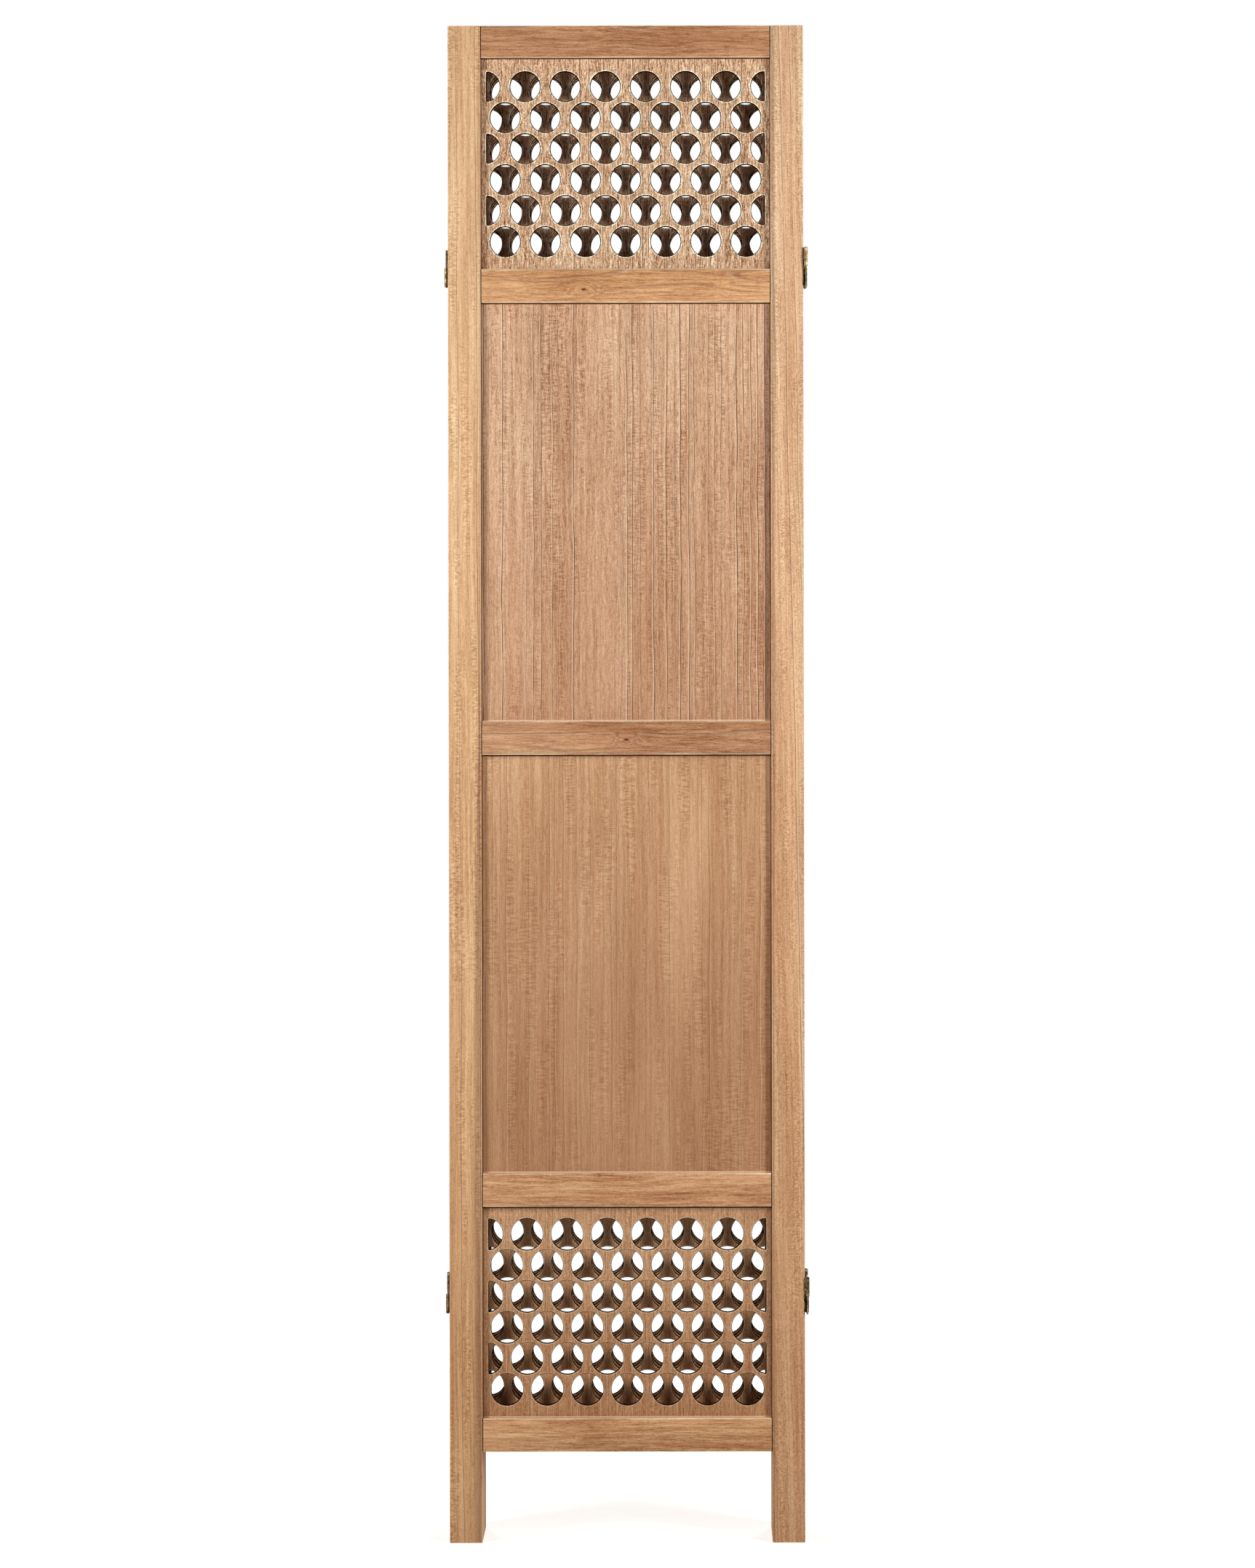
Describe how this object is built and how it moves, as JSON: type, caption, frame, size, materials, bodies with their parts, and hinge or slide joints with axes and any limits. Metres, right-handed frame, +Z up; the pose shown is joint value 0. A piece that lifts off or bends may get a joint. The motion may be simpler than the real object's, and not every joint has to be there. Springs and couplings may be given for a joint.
{
  "type": "folding screen",
  "caption": "Wooden folding floor screen of framed panels with round-pierced jali boards and plain boards, on hinges that fold both ways.",
  "frame": {"origin": "on the floor, under the middle of the folded stack's box", "axes": "+Z up; +Y from the front panel, panel 1, to the rear panel, panel 4; +X to the right, seen from the front"},
  "size_m": [0.4082, 0.0812, 1.7],
  "materials": {
    "frame_wood": "clear satin on honey-coloured hardwood",
    "board_wood": "clear satin on pinkish-tan flecked veneer",
    "hinge_brass": "plain, slightly worn",
    "screw_brass": "plain, slightly worn"
  },
  "bodies": {
    "panel_1": {"panel_1_left_stile": "frame_wood", "panel_1_right_stile": "frame_wood", "panel_1_top_rail": "frame_wood", "panel_1_upper_rail": "frame_wood", "panel_1_middle_rail": "frame_wood", "panel_1_lower_rail": "frame_wood", "panel_1_bottom_rail": "frame_wood", "panel_1_top_jali": "board_wood", "panel_1_upper_board": "board_wood", "panel_1_lower_board": "board_wood", "panel_1_bottom_jali": "board_wood", "panel_1_right_leaves": "hinge_brass", "panel_1_hinge_screws": "screw_brass"},
    "link_1_2": {"hinge_links_1_2": "hinge_brass", "hinge_pins_1_2": "hinge_brass"},
    "panel_2": {"panel_2_left_stile": "frame_wood", "panel_2_right_stile": "frame_wood", "panel_2_top_rail": "frame_wood", "panel_2_upper_rail": "frame_wood", "panel_2_middle_rail": "frame_wood", "panel_2_lower_rail": "frame_wood", "panel_2_bottom_rail": "frame_wood", "panel_2_top_jali": "board_wood", "panel_2_upper_board": "board_wood", "panel_2_lower_board": "board_wood", "panel_2_bottom_jali": "board_wood", "panel_2_right_leaves": "hinge_brass", "panel_2_left_leaves": "hinge_brass", "panel_2_hinge_screws": "screw_brass"},
    "link_2_3": {"hinge_links_2_3": "hinge_brass", "hinge_pins_2_3": "hinge_brass"},
    "panel_3": {"panel_3_left_stile": "frame_wood", "panel_3_right_stile": "frame_wood", "panel_3_top_rail": "frame_wood", "panel_3_upper_rail": "frame_wood", "panel_3_middle_rail": "frame_wood", "panel_3_lower_rail": "frame_wood", "panel_3_bottom_rail": "frame_wood", "panel_3_top_jali": "board_wood", "panel_3_upper_board": "board_wood", "panel_3_lower_board": "board_wood", "panel_3_bottom_jali": "board_wood", "panel_3_left_leaves": "hinge_brass", "panel_3_right_leaves": "hinge_brass", "panel_3_hinge_screws": "screw_brass"},
    "link_3_4": {"hinge_links_3_4": "hinge_brass", "hinge_pins_3_4": "hinge_brass"},
    "panel_4": {"panel_4_left_stile": "frame_wood", "panel_4_right_stile": "frame_wood", "panel_4_top_rail": "frame_wood", "panel_4_upper_rail": "frame_wood", "panel_4_middle_rail": "frame_wood", "panel_4_lower_rail": "frame_wood", "panel_4_bottom_rail": "frame_wood", "panel_4_top_jali": "board_wood", "panel_4_upper_board": "board_wood", "panel_4_lower_board": "board_wood", "panel_4_bottom_jali": "board_wood", "panel_4_right_leaves": "hinge_brass", "panel_4_hinge_screws": "screw_brass"}
  },
  "joints": [
    {"name": "front_pin_1_2", "type": "hinge", "parent": "panel_1", "child": "link_1_2", "pos_m": [0.202, -0.03843, 0.853], "axis": [0, 0, -1], "range_deg": [0, 180]},
    {"name": "rear_pin_1_2", "type": "hinge", "parent": "link_1_2", "child": "panel_2", "pos_m": [0.202, -0.01843, 0.853], "axis": [0, 0, -1], "range_deg": [0, 180]},
    {"name": "front_pin_2_3", "type": "hinge", "parent": "panel_2", "child": "link_2_3", "pos_m": [-0.202, -0.01843, 0.853], "axis": [0, 0, 1], "range_deg": [0, 180]},
    {"name": "rear_pin_2_3", "type": "hinge", "parent": "link_2_3", "child": "panel_3", "pos_m": [-0.202, 0.00157, 0.853], "axis": [0, 0, 1], "range_deg": [0, 180]},
    {"name": "front_pin_3_4", "type": "hinge", "parent": "panel_3", "child": "link_3_4", "pos_m": [0.202, 0.00157, 0.853], "axis": [0, 0, -1], "range_deg": [0, 180]},
    {"name": "rear_pin_3_4", "type": "hinge", "parent": "link_3_4", "child": "panel_4", "pos_m": [0.202, 0.02157, 0.853], "axis": [0, 0, -1], "range_deg": [0, 180]}
  ]
}
